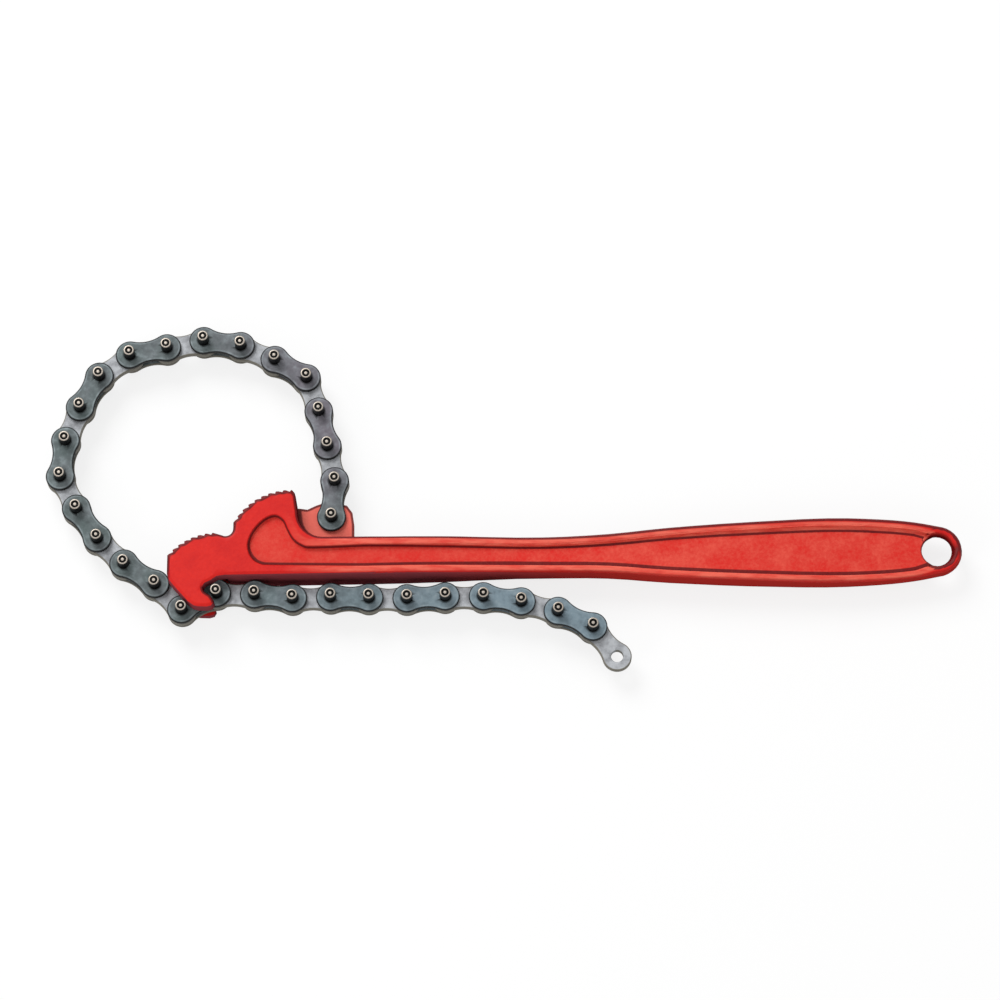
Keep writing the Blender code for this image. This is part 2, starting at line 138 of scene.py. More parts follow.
# Gloss of the enamel, the floor's light, and the camera in millimetres and metres
FACE_GLOSS = 0.2
WALL_GLOSS = 0.0
WHITE = (1.0, 1.0, 1.0, 1.0)
FLOOR_BOUNCE = (0.4, 0.4, 0.4, 1.0)
FLOOR_SHADE = (0.22, 0.22, 0.22, 1.0)
FLOOR_GLOW = 0.8
FLOOR_REACH = 6.0
SENSOR_WIDTH = 36.0
LENS = 136.98
VIEW_END = 20.0
AIM = (-1.08 * MM, -3.49 * MM)


# ---------------------------------------------------------------- properties


def length(name, description, default):
    """A length in metres, shown with its unit."""
    return FloatProperty(
        name=name, description=description, default=default, min=0.0, precision=5,
        subtype="DISTANCE", unit="LENGTH",
    )


def colour(name, description, red, green, blue):
    """A colour, written as the screen shows it and kept as linear light."""
    return FloatVectorProperty(
        name=name, description=description, default=(*linear(red, green, blue), 1.0),
        size=4, min=0.0, max=1.0, subtype="COLOR",
    )


def linear(*channels):
    """Screen values from 0 to 255 as linear light.

    A share c of the full value gives c / 12.92 below 0.04045 and ((c + 0.055) / 1.055)^2.4 above.
    """
    share = np.array(channels) / 255.0
    return np.where(share < 0.04045, share / 12.92, ((share + 0.055) / 1.055) ** 2.4).tolist()


class ChainSizes(bpy.types.PropertyGroup):
    """Sizes of the chain's plates and pins."""
    pitch: length("Pitch", "Distance between the pins of a link", 14.4 * MM)
    end_radius: length("End radius", "Radius of a plate's round ends", 5.5 * MM)
    waist: length("Waist", "Width of a plate at its middle", 8.1 * MM)
    outer_thickness: length("Outer plate", "Thickness of an outer plate", 1.5 * MM)
    inner_thickness: length("Inner plate", "Thickness of an inner plate", 2.7 * MM)
    side_gap: length("Side gap", "Clearance between an inner and an outer plate", 0.25 * MM)
    bore_gap: length("Bore clearance", "Clearance of a pin in an inner plate's bore", 0.25 * MM)
    edge_round: length("Plate edge", "Rounding of the plates' stamped edges", 0.32 * MM)
    pin_radius: length("Pin radius", "Radius of a riveted pin", 2.05 * MM)
    pin_chamfer: length("Pin chamfer", "Chamfer at both ends of a pin", 0.3 * MM)
    groove_depth: length("Rivet groove", "Depth of the groove in a pin's end", 0.5 * MM)


class ForgingLooks(bpy.types.PropertyGroup):
    """Colours of the enamelled forging."""
    enamel: colour("Enamel", "Red enamel on the flat faces", 224, 36, 28)
    enamel_deep: colour("Deep enamel", "Darker patches of the enamel", 208, 26, 24)
    low: colour("Recess", "Enamel in the recess", 236, 84, 68)
    # Painted light: the lug's enamel is made lighter and pinker to lift the shade that the head and
    # the chain cast on it.
    lug: colour("Lug", "Rubbed enamel on the lug", 255, 124, 108)
    # Painted highlight: a streaky lighter band along the ribs beside the recess.
    rim: colour("Rubbed ribs", "Thin enamel on the ribs beside the recess", 246, 112, 92)
    wall: colour("Walls", "Enamel in shade on the head's and neck's sides", 150, 72, 80)
    # Painted shade: darker red for the grip's round sides.
    grip_side_shade: colour("Grip side", "Enamel on the round sides of the grip", 200, 54, 48)
    # Painted shade: dark lines along the upper outlines, at the recess's foot, round the lug and
    # round the hang hole.
    crease_shade: colour("Crease", "Deep enamel along edges and the recess's foot", 84, 6, 12)
    steel: colour("Worn tips", "Bare steel at the tips of the teeth", 70, 20, 22)


class ChainLooks(bpy.types.PropertyGroup):
    """Colours of the chain's steel."""
    blued: colour("Blued plate", "Outer plates, cool patches", 97, 109, 109)
    violet: colour("Tempered plate", "Outer plates, warm patches", 118, 114, 122)
    tail: colour("Tail plate", "Outer plates towards the free end", 124, 142, 152)
    # Painted highlight: a pale line along the rounded edge of each outer plate; this colour also
    # lightens random patches.
    rim: colour("Plate rim", "Rubbed rim of an outer plate", 170, 182, 186)
    # Painted shade: near-black for a front plate's wall, which lies in shade; this colour also
    # darkens random patches and the plate round each pin.
    edge: colour("Front edge", "Black, stamped edge of a front plate", 16, 17, 18)
    rear_edge: colour("Rear edge", "Stamped edge of a rear or inner plate", 118, 114, 104)
    bright: colour("Bright plate", "Ground steel of the inner plates", 178, 181, 185)
    shade: colour("Dull plate", "Dull patches of the inner plates", 138, 140, 144)
    pin_side: colour("Pin side", "Oil-black side of a pin", 8, 8, 9)
    pin_end: colour("Pin end", "Peened, bright end of a pin", 178, 169, 158)


class StageLooks(bpy.types.PropertyGroup):
    """Camera, lamps and room light."""
    distance: length("Camera distance", "From the camera to the middle of the wrench", 1.44)
    elevation: FloatProperty(
        name="Elevation", description="Height of the camera above the floor, as an angle",
        default=math.radians(72.6), subtype="ANGLE", unit="ROTATION",
    )
    key: FloatProperty(
        name="Main lamp", description="Power of the soft lamp above and behind",
        default=21.5, min=0.0, subtype="POWER", unit="POWER",
    )
    fill: FloatProperty(
        name="Side lamp", description="Power of the soft lamp at the front left",
        default=4.0, min=0.0, subtype="POWER", unit="POWER",
    )
    ambient: FloatProperty(
        name="Room light", description="Even light from all around", default=0.48, min=0.0,
    )


# ------------------------------------------------------------------- shaders


class Signal:
    """A value that varies over a surface. Arithmetic on it adds Math nodes."""

    def __init__(self, recipe, socket):
        self.recipe = recipe
        self.socket = socket

    def maths(self, operation, *values, clamp=False):
        settings = {"operation": operation, "use_clamp": clamp}
        return self.recipe.node("ShaderNodeMath", settings, values)

    def __add__(self, other):
        return self.maths("ADD", self, other)

    def __sub__(self, other):
        return self.maths("SUBTRACT", self, other)

    def __rsub__(self, other):
        return self.maths("SUBTRACT", other, self)

    def __mul__(self, other):
        return self.maths("MULTIPLY", self, other)

    def __abs__(self):
        return self.maths("ABSOLUTE", self)

    __radd__ = __add__
    __rmul__ = __mul__

    def limited(self):
        """The value, held between 0 and 1."""
        return self.maths("ADD", self, 0.0, clamp=True)

    def above(self, low, high):
        """0 below low, 1 above high, and a straight ramp between."""
        limits = {"Value": self, "From Min": low, "From Max": high}
        return self.recipe.node("ShaderNodeMapRange", {"clamp": True}, limits)

    def below(self, low, high):
        """1 below low, 0 above high, and a straight ramp between."""
        return 1.0 - self.above(low, high)


class Recipe:
    """The nodes of a material or of the room's light."""

    def __init__(self, owner):
        self.owner = owner
        owner.use_nodes = True
        self.tree = owner.node_tree
        self.tree.nodes.clear()

    def node(self, kind, settings=None, sockets=(), output=0):
        """Adds a node: its settings first, then the values or links of its sockets."""
        made = self.tree.nodes.new(kind)
        for key, value in (settings or {}).items():
            setattr(made, key, value)
        pairs = sockets.items() if isinstance(sockets, dict) else enumerate(sockets)
        for key, value in pairs:
            if isinstance(value, Signal):
                self.tree.links.new(value.socket, made.inputs[key])
            else:
                made.inputs[key].default_value = value
        return Signal(self, made.outputs[output])

    def place(self):
        """Where a point is on the piece at rest."""
        return self.node("ShaderNodeTexCoord", output="Object")

    def axis(self, letter):
        """One coordinate of a point on the piece at rest."""
        return self.node("ShaderNodeSeparateXYZ", {}, {"Vector": self.place()}, letter)

    def seen(self):
        """1 for what the camera, mirrors and glass see, 0 for stray light."""
        camera, gloss, glass = (
            self.node("ShaderNodeLightPath", output=f"Is {kind} Ray")
            for kind in ("Camera", "Glossy", "Transmission")
        )
        return (camera + gloss + glass).limited()

    def noise(self, size, detail=3.0, roughness=0.55, stretch=(1.0, 1.0, 1.0)):
        """Soft patches of about the given size in metres, around 0.5."""
        spot = self.node("ShaderNodeMapping", {}, {"Vector": self.place(), "Scale": stretch})
        sockets = {"Vector": spot, "Scale": 1.0 / size, "Detail": detail, "Roughness": roughness}
        return self.node("ShaderNodeTexNoise", {}, sockets)

    def mark(self, name):
        """A mask that the mesh carries."""
        return self.node("ShaderNodeAttribute", {"attribute_name": name}, output="Fac")

    def mix(self, share, first, second):
        """The first colour where the share is 0, the second where it is 1."""
        sockets = {0: share, 6: first, 7: second}
        return self.node("ShaderNodeMix", {"data_type": "RGBA"}, sockets, output=2)

    def bump(self, height, strength, distance):
        """Normals of a surface that the height raises by up to the distance."""
        sockets = {"Height": height, "Strength": strength, "Distance": distance}
        return self.node("ShaderNodeBump", {}, sockets)

    def surface(self, **sockets):
        """Ends the recipe with one Principled shader, its sockets named with _ for a space."""
        named = {key.replace("_", " "): value for key, value in sockets.items()}
        return self.finish(self.node("ShaderNodeBsdfPrincipled", {}, named))

    def finish(self, shader, kind="ShaderNodeOutputMaterial"):
        """Ends the recipe with the shader, and gives back the material or world."""
        output = self.tree.nodes.new(kind)
        self.tree.links.new(shader.socket, output.inputs["Surface"])
        return self.owner


def enamel_crease_shade(recipe, inset, foot, lug, grip):
    """Painted shade: dark lines along the upper outlines, the recess's foot, round the lug and the
    hole.

    The outline's line is wider in the grip. At the recess's lower wall the line is widest, and
    lies further inside the recess.
    """
    rim = inset - (1.0 * MM + 0.8 * MM * grip)
    outline = rim.below(-0.12 * MM, 0.25 * MM) * recipe.mark("back").above(-0.45, -0.05)
    under = recipe.mark("foot_back").above(-0.4, 0.6)
    span = 0.25 * MM + 0.5 * MM * under + 0.2 * MM * grip * (1.0 - under)
    off_line = abs(foot - 0.5 * MM * under * (1.0 - 0.4 * grip)) - span
    crease_shade = off_line.below(-0.1 * MM, 0.15 * MM)
    lug_edge = recipe.mark("lug_inset").below(0.7 * MM, 1.1 * MM)
    lug_line = (lug_edge + inset.below(1.1 * MM, 1.6 * MM)).limited() * lug
    hole = recipe.mark("hole").below(0.3 * MM, 0.8 * MM)
    return (outline * (1.0 - lug) + crease_shade * (1.0 - lug) + lug_line + hole).limited()


def enamel_material(name, looks, gloss):
    """Red enamel on a forging: patchy faces, painted light on ribs and lug, painted shade on walls
    and creases.
    """
    recipe = Recipe(bpy.data.materials.new(name))
    along = recipe.axis("X")
    neck = along.above(HEAD_END - 34 * MM, HEAD_END - 12 * MM)
    grip = along.above(HEAD_END + 20 * MM, GRIP_START + 20 * MM)
    patches = recipe.noise(7 * MM, detail=5.0).above(0.38, 0.64)
    mottle = recipe.noise(1.4 * MM, detail=4.0)
    grit = recipe.noise(1.3 * MM, detail=3.0, roughness=0.7).above(0.40, 0.62)
    streaks = recipe.noise(1.8 * MM, stretch=(0.2, 1.0, 1.0)).above(0.36, 0.60)
    inset, foot, lug = recipe.mark("inset"), recipe.mark("foot"), recipe.mark("lug")
    blend = recipe.mix(patches * 0.6 + grit * 0.4, looks.enamel, looks.enamel_deep)
    low = foot.above(-0.1 * MM, 0.3 * MM)
    faded = (0.08 + 0.42 * grit + 0.55 * patches).limited() * (0.75 + 0.25 * grip)
    blend = recipe.mix(low * faded, blend, looks.low)
    # Painted highlight: streaks of lighter enamel along the ribs beside the recess, in the neck and
    # grip.
    rib_highlight = inset.above(0.45 * MM, 1.0 * MM) * foot.above(-3.4 * MM, -2.6 * MM)
    rib_highlight = rib_highlight * foot.below(-0.5 * MM, 0.0) * (1.0 - lug) * neck
    blend = recipe.mix(rib_highlight * (0.35 + 0.55 * streaks), blend, looks.rim)
    # Painted light on the lug, lifting the shade cast on it.
    blend = recipe.mix(lug * (0.7 + 0.3 * mottle), blend, looks.lug)
    # Painted shade on the walls: the head's and neck's sides in dark maroon, the grip's round sides
    # in dark red.
    sides = recipe.mix(grip, looks.wall, looks.grip_side_shade)
    blend = recipe.mix(recipe.mark("wall") * (0.8 + 0.25 * mottle).limited(), blend, sides)
    # Painted shade along the upper outlines, the recess's foot, round the lug and round the hole.
    dark = enamel_crease_shade(recipe, inset, foot, lug, grip)
    blend = recipe.mix(dark * (0.78 + 0.2 * mottle), blend, looks.crease_shade)
    worn = recipe.mark("tip") * recipe.noise(1.1 * MM).above(0.25, 0.55)
    blend = recipe.mix(worn, blend, looks.steel)
    rough = 0.40 + 0.16 * mottle + 0.12 * low
    peel = recipe.bump(mottle + 0.5 * recipe.noise(0.5 * MM), 0.4, 0.14 * MM)
    return recipe.surface(
        Base_Color=blend, Roughness=rough, Normal=peel, Specular_IOR_Level=gloss,
    )


def blued_material(looks, left):
    """Blued, stamped plates: warmer at the right of the loop, and paler towards the free end.

    Left is where the wrench begins along X.
    """
    recipe = Recipe(bpy.data.materials.new("blued steel of the outer plates"))
    along, across = recipe.axis("X") - left, recipe.axis("Y") - LUG_PIN[1]
    warm = along.above(60 * MM, 90 * MM) * across.above(0.0, 20 * MM)
    tail = along.above(60 * MM, 170 * MM) * across.below(-20 * MM, 0.0)
    patches = recipe.noise(9 * MM).above(0.35, 0.65)
    blend = recipe.mix((warm * 0.7 + patches * 0.3).limited(), looks.blued, looks.violet)
    blend = recipe.mix(tail, blend, looks.tail)
    grain = recipe.noise(0.45 * MM, detail=4.0)
    cloud = recipe.noise(2.5 * MM, detail=4.0)
    blend = recipe.mix(cloud.above(0.50, 0.72) * 0.28, blend, looks.edge)
    blend = recipe.mix(cloud.below(0.30, 0.48) * 0.22, blend, looks.rim)
    # Painted highlight along each outer plate's rounded edge.
    rim_highlight = recipe.mark("rim") * recipe.noise(2.4 * MM).above(0.35, 0.65)
    blend = recipe.mix(rim_highlight * 0.5, blend, looks.rim)
    # Painted shade: a dark ring where the plate meets each pin.
    blend = recipe.mix(recipe.mark("bore") * 0.85, blend, looks.edge)
    # Painted shade: the front plate's wall near-black, the rear plate's wall in its own beige.
    rear = recipe.mark("rear") * (0.6 + 0.6 * cloud).limited()
    edge = recipe.mix(rear, looks.edge, looks.rear_edge)
    blend = recipe.mix(recipe.mark("side"), blend, edge)
    rough = 0.52 + 0.18 * cloud + 0.08 * grain
    tooth = recipe.bump(grain, 0.3, 0.05 * MM)
    return recipe.surface(
        Base_Color=blend, Metallic=0.25, Roughness=rough, Normal=tooth, Specular_IOR_Level=0.3,
    )


def bright_material(looks):
    """Bright ground plates between the outer ones, with dull patches and a fine grain."""
    recipe = Recipe(bpy.data.materials.new("bright steel of the inner plates"))
    cloud = recipe.noise(3.0 * MM)
    grain = recipe.noise(0.35 * MM, detail=4.0)
    blend = recipe.mix(cloud.above(0.4, 0.7), looks.bright, looks.shade)
    blend = recipe.mix(recipe.mark("side"), blend, looks.rear_edge)
    rough = 0.48 + 0.2 * cloud + 0.1 * grain
    scratches = recipe.bump(grain, 0.25, 0.04 * MM)
    return recipe.surface(Base_Color=blend, Metallic=0.35, Roughness=rough, Normal=scratches)


def pin_material(looks):
    """Riveted pins: oil-black sides and grooves, and bright peened ends."""
    recipe = Recipe(bpy.data.materials.new("oil-black steel of the pins"))
    grain = recipe.noise(0.4 * MM)
    bright = recipe.mark("bright") * (0.82 + 0.3 * grain).limited()
    blend = recipe.mix(bright, looks.pin_side, looks.pin_end)
    rough = 0.28 + 0.2 * grain
    turned = recipe.bump(grain, 0.2, 0.04 * MM)
    metal = 0.6 * bright
    return recipe.surface(
        Base_Color=blend, Metallic=metal, Roughness=rough, Normal=turned, Specular_IOR_Level=0.1,
    )


# -------------------------------------------------------------------- shapes


def mark_mesh(mesh, masks, kind):
    """Gives the mesh a float on each point or each face for each mask."""
    for name, values in masks.items():
        layer = mesh.attributes.new(name, "FLOAT", kind)
        layer.data.foreach_set("value", np.ascontiguousarray(values, dtype=np.float32))


def add_piece(name, points, faces, material, masks=()):
    """A mesh piece at the origin: its points, its faces, its material and its points' masks."""
    mesh = bpy.data.meshes.new(name)
    mesh.from_pydata(points, [], faces)
    mesh.validate()
    mark_mesh(mesh, dict(masks), "POINT")
    mesh.materials.append(material)
    piece = bpy.data.objects.new(name, mesh)
    bpy.context.scene.collection.objects.link(piece)
    return piece


def soften(piece, sharp_angle):
    """Smooth shading that stays crisp at edges sharper than the angle, which is in degrees."""
    piece.data.polygons.foreach_set("use_smooth", np.ones(len(piece.data.polygons), dtype=bool))
    piece.data.set_sharp_from_angle(angle=math.radians(sharp_angle))
    finish = piece.modifiers.new("even shading", "WEIGHTED_NORMAL")
    finish.keep_sharp = True


def plate_half(sizes):
    """One half of a waisted plate's outline about its pin, anticlockwise from the top of the waist.

    The round end is R (cos a, sin a). The waist is an arc of radius h about (p / 2, w / 2 + h)
    that touches the round end, which gives h = ((p / 2)^2 + (w / 2)^2 - R^2) / (R - w / 2) / 2.
    Returns the points, the outward normals, and which points lie on the cut through the middle.
    """
    half, waist, end = sizes.pitch / 2, sizes.waist / 2, sizes.end_radius
    hollow = (half**2 + waist**2 - end**2) / (2 * (end - waist))
    touch = math.atan2(waist + hollow, half)
    turn = np.concatenate((
        np.linspace(1.5 * math.pi, math.pi + touch, WAIST_STEPS + 1)[:-1],
        np.linspace(touch, 2 * math.pi - touch, END_STEPS),
        np.linspace(math.pi - touch, 0.5 * math.pi, WAIST_STEPS + 1)[1:],
    ))
    rays = np.column_stack((np.cos(turn), np.sin(turn)))
    side = np.repeat((1, 0, -1), (WAIST_STEPS, END_STEPS, WAIST_STEPS))[:, None]
    waist_centres = np.hstack((np.full_like(side, half, dtype=float), side * (waist + hollow)))
    points = np.where(side == 0, 0.0, waist_centres) + np.where(side == 0, end, hollow) * rays
    normals = np.where(side == 0, rays, -rays)
    cut = np.column_stack((np.full(CUT_POINTS, half), np.linspace(-0.7, 0.7, CUT_POINTS) * waist))
    on_cut = np.repeat((False, True), (len(turn), CUT_POINTS))
    return np.vstack((points, cut)), np.vstack((normals, np.zeros_like(cut))), on_cut


def plate_section(thickness, rounding, chamfer):
    """The closed line round a plate's wall, from its outer middle over the top into the bore.

    Each row is the inset from the outline, the height, the share of the way to the bore, what is
    added to the bore's radius, the rim mask, which carries a painted highlight, and the side mask,
    which carries painted shade on the front plates' walls.
    """
    top = thickness / 2
    bend = np.radians((0, 30, 60, 90))
    upper = [(0.0, 0.0, 0, 0, 0, 1)]
    upper += [
        (rounding * (1 - math.cos(a)), top - rounding * (1 - math.sin(a)), 0, 0, 0, side)
        for a, side in zip(bend, (1.0, 1.0, 1.0, 0.9))
    ]
    # The rim mask is a painted highlight: a pale line just inside the rounded edge.
    highlight_band = ((0.2 * MM, 0.3), (0.42 * MM, 1.0), (0.62 * MM, 0.6), (0.8 * MM, 0.0))
    upper += [(rounding + inset, top, 0, 0, rim, 0) for inset, rim in highlight_band]
    flat = rounding + highlight_band[-1][0]
    upper += [(flat, top, share, chamfer, 0, 0) for share in (0.33, 0.66, 1.0)]
    upper += [(0.0, top - chamfer, 1, 0, 0, 1)]
    lower = [(a, -b, c, d, e, f) for a, b, c, d, e, f in upper[:0:-1]]
    return np.array(upper + lower, dtype=float)


def plate_surface(sizes, thickness, bore):
    """A plate with two bores, as a closed surface over (place round the pin, place on section).

    Each point is (1 - s) (outline - inset n) + s b u, where n is the outline's normal, u points
    from the pin to the outline, b is the bore's radius and s is the share on the way to the bore.
    The other half is the same with x turned into pitch - x.
    """
    points, normals, on_cut = plate_half(sizes)
    section = plate_section(thickness, sizes.edge_round, BORE_CHAMFER)
    inset, height, share, extra, rim, side = section.T[:, None, :]
    rays = points / np.linalg.norm(points, axis=1, keepdims=True)
    outer = points[:, None, :] - inset[..., None] * normals[:, None, :]
    inner = (bore + extra)[..., None] * rays[:, None, :]
    plan = (1 - share)[..., None] * outer + share[..., None] * inner
    columns, rows = plan.shape[:2]
    spots = np.dstack((plan, np.broadcast_to(height, (columns, rows))))
    numbers = np.arange(columns * rows).reshape(columns, rows)
    onward = np.roll(numbers, -1, axis=0)
    loops = (numbers, onward, np.roll(onward, -1, axis=1), np.roll(numbers, -1, axis=1))
    near_cut = on_cut | np.roll(on_cut, -1)
    outer_wall = (share[0] == 0) & (np.roll(share[0], -1) == 0)
    inside = near_cut[:, None] & outer_wall[None, :]
    half_faces = np.stack(loops, axis=-1)[~inside]
    half_points = spots.reshape(-1, 3)
    mirrored = half_points * (-1, 1, 1) + (sizes.pitch, 0, 0)
    all_points = np.vstack((half_points, mirrored))
    all_faces = np.vstack((half_faces, half_faces[:, ::-1] + len(half_points)))
    on_rim = ~on_cut[:, None]
    masks = {
        "rim": np.tile((rim * on_rim).ravel(), 2),
        "side": np.tile((side * on_rim).ravel(), 2),
        # The bore mask carries the painted shade round each pin.
        "bore": np.tile(((share == 1) * on_rim).ravel(), 2),
    }
    return welded(all_points, all_faces, masks)


def one_each(points):
    """Points in one place made one: the numbers of those that stay, and what each becomes."""
    places = np.round(points / WELD_GAP)
    _, first, back = np.unique(places, axis=0, return_index=True, return_inverse=True)
    return first, back.ravel()


def welded(points, faces, masks):
    """The same surface with points in one place made one, and faces that have no area left out."""
    first, back = one_each(points)
    loops = []
    for face in back[faces].tolist():
        corners = [a for a, b in zip(face, face[1:] + face[:1]) if a != b]
        if len(set(corners)) > 2:
            loops.append(corners)
    return points[first], loops, {name: values[first] for name, values in masks.items()}


def pin_surface(sizes, span, axis_x):
    """A riveted pin, as its profile (r, z) turned about its axis: (r cos a + x, r sin a, z).

    The profile runs from the middle of the front end over its bright ring down the side to the
    rear end, which is the same upside down.
    """
    radius, chamfer, groove = sizes.pin_radius, sizes.pin_chamfer, sizes.groove_depth
    half = span / 2
    front = np.array((
        (0.0, half - 0.08 * MM, 1),
        (0.26 * radius, half - 0.12 * MM, 1),
        (0.32 * radius, half - 0.25 * MM, 0),
        (0.38 * radius, half - groove, 0),
        (0.64 * radius, half - groove, 0),
        (0.69 * radius, half - 0.25 * MM, 0),
        (0.73 * radius, half - 0.02 * MM, 1),
        (radius - chamfer, half, 1),
        (radius - 0.3 * chamfer, half - 0.3 * chamfer, 0.6),
        (radius, half - chamfer, 0),
        (radius, half - 2.2 * chamfer, 0),
    ))
    rear = front[::-1] * (1, -1, 1)
    r, z, bright = np.vstack((front, rear)).T
    turn = np.linspace(0, 2 * math.pi, PIN_SIDES, endpoint=False)[:, None]
    level = np.broadcast_to(z, (PIN_SIDES, len(z)))
    spots = np.dstack((r * np.cos(turn) + axis_x, r * np.sin(turn), level))
    numbers = np.arange(level.size).reshape(level.shape)
    onward = np.roll(numbers, -1, axis=0)
    loops = (numbers[:, :-1], numbers[:, 1:], onward[:, 1:], onward[:, :-1])
    faces = np.stack(loops, axis=-1).reshape(-1, 4)
    return welded(spots.reshape(-1, 3), faces, {"bright": np.tile(bright, PIN_SIDES)})


def pin_places():
    """Centres of all the chain's pins, with the eye of the free end last."""
    pins = np.array([joint["pos_m"] for joint in JOINTS], dtype=float)
    low, high = (np.array(corner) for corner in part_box(f"link_{LINK_COUNT:02d}_inner_plate"))
    return np.vstack((pins, (low + high) - pins[-1]))


def laid(points, number, level=0.0):
    """Points of a link moved to its place, p + x d + y n + z u.

    p is its first pin, d points along the link, n across it and u up. The level is added to z.
    """
    pins = pin_places()
    start, along = pins[number - 1], pins[number] - pins[number - 1]
    along = along / np.linalg.norm(along)
    across = np.array((-along[1], along[0], 0.0))
    up = np.array((0.0, 0.0, 1.0))
    return start + points @ np.vstack((along, across, up)) + level * up


def joined(*surfaces):
    """Several surfaces as one: their points in a row, and each one's faces moved on."""
    points, faces, masks, count = [], [], {}, 0
    for spots, loops, marks in surfaces:
        points.append(spots)
        faces += [[corner + count for corner in loop] for loop in loops]
        for name, values in marks.items():
            masks.setdefault(name, []).append(values)
        count += len(spots)
    together = {name: np.concatenate(rows) for name, rows in masks.items()}
    return np.vstack(points), faces, together


def eased(x, start, end):
    """0 up to the start, 1 from the end, and t^2 (3 - 2 t) between."""
    share = np.clip((x - start) / (end - start), 0.0, 1.0)
    return share**2 * (3 - 2 * share)


def half_thickness(x):
    """Half the forging's thickness, from the head's to the grip's and to its end's.

    It eases from one to the next, and runs straight between the stations of the CAD part.
    """
    neck = np.linspace(HEAD_END, GRIP_START, NECK_STATIONS)
    taper = np.linspace(END_TAPER, HANG_HOLE[0], TAPER_STATIONS)
    halves = (
        HEAD_HALF + (GRIP_HALF - HEAD_HALF) * eased(neck, neck[0], neck[-1]),
        GRIP_HALF + (END_HALF - GRIP_HALF) * eased(taper, taper[0], taper[-1]),
    )
    return np.interp(x, np.concatenate((neck, taper)), np.concatenate(halves))


def plan_lines(points, faces, normals, chosen):
    """What the chosen upright faces make in plan, as short lines with their outward normals."""
    upright = (np.linalg.norm(normals[:, :2], axis=1) > 0.99) & chosen
    plan = points[faces[upright]][:, :, :2]
    across = np.column_stack((-normals[upright, 1], normals[upright, 0]))
    reach = np.einsum("fcx,fx->fc", plan, across)
    rows = np.arange(len(plan))
    starts, ends = plan[rows, reach.argmin(axis=1)], plan[rows, reach.argmax(axis=1)]
    return starts, ends, normals[upright, :2]


def forging_lines(points, faces, normals):
    """The forging's outline, its recess's outline and its lug's outline in plan.

    The outline passes half way up, between the slot and the rounded rim in the head, and between
    the middle and the rim in the grip. The recess's walls reach no deeper than the recess, and the
    lug's walls no higher than the lug's own thickness.
    """
    level = np.abs(points[:, 2] - MIDDLE)
    share = ((points[:, 2] - MIDDLE) / half_thickness(points[:, 0]))[faces]
    drop = (half_thickness(points[:, 0]) - level)[faces]
    half_way = (share.min(axis=1) < 0.5) & (share.max(axis=1) > 0.5)
    outline = plan_lines(points, faces, normals, half_way)
    centres = points[faces].mean(axis=1)[:, :2]
    shallow = (drop.max(axis=1) < PAST_RECESS) & (drop.min(axis=1) > 2 * NEAR_LINE)
    shallow &= from_lines(centres, *outline)[0] > PAST_RIM
    recess = plan_lines(points, faces, normals, shallow)
    from_pin = np.linalg.norm(centres - LUG_PIN[:2], axis=1)
    thin = (level[faces].max(axis=1) < LUG_WALL_TOP) & (from_pin > LUG_PIN_REACH)
    return outline, recess, plan_lines(points, faces, normals, thin)


def from_lines(plan, starts, ends, outward):
    """Each point's distance from the nearest line, and the direction inwards from there.

    Lines at nearly the same distance share in the direction. The points are taken in batches.
    """
    runs = ends - starts
    insets, directions = [], []
    for some in np.array_split(plan, max(1, len(plan) // BATCH)):
        share = np.einsum("psx,sx->ps", some[:, None] - starts[None], runs) / (runs**2).sum(axis=1)
        nearest = starts[None] + np.clip(share, 0, 1)[..., None] * runs[None]
        gaps = np.linalg.norm(some[:, None] - nearest, axis=2)
        insets.append(gaps.min(axis=1))
        weight = np.exp((insets[-1][:, None] - gaps) / LINE_BLEND)
        directions.append(-weight @ outward)
    inwards = np.vstack(directions)
    size = np.linalg.norm(inwards, axis=1, keepdims=True)
    return np.concatenate(insets), inwards / np.maximum(size, 1e-9)


def mesh_arrays(mesh):
    """The points and the triangles of a mesh as arrays, points in one place made one."""
    mesh.calc_loop_triangles()
    points = np.empty(len(mesh.vertices) * 3, np.float32)
    faces = np.empty(len(mesh.loop_triangles) * 3, np.int32)
    mesh.vertices.foreach_get("co", points)
    mesh.loop_triangles.foreach_get("vertices", faces)
    points = points.reshape(-1, 3).astype(float)
    first, back = one_each(points)
    faces = back[faces.reshape(-1, 3)]
    apart = (faces != np.roll(faces, 1, axis=1)).all(axis=1)
    return points[first], faces[apart]


def face_normals(points, faces):
    """Each triangle's normal (b - a) x (c - a), made one long, and 0 where it has no area."""
    a, b, c = np.moveaxis(points[faces], 1, 0)
    normals = np.cross(b - a, c - a)
    size = np.linalg.norm(normals, axis=1, keepdims=True)
    return np.where(size > 1e-13, normals / np.maximum(size, 1e-13), 0.0)


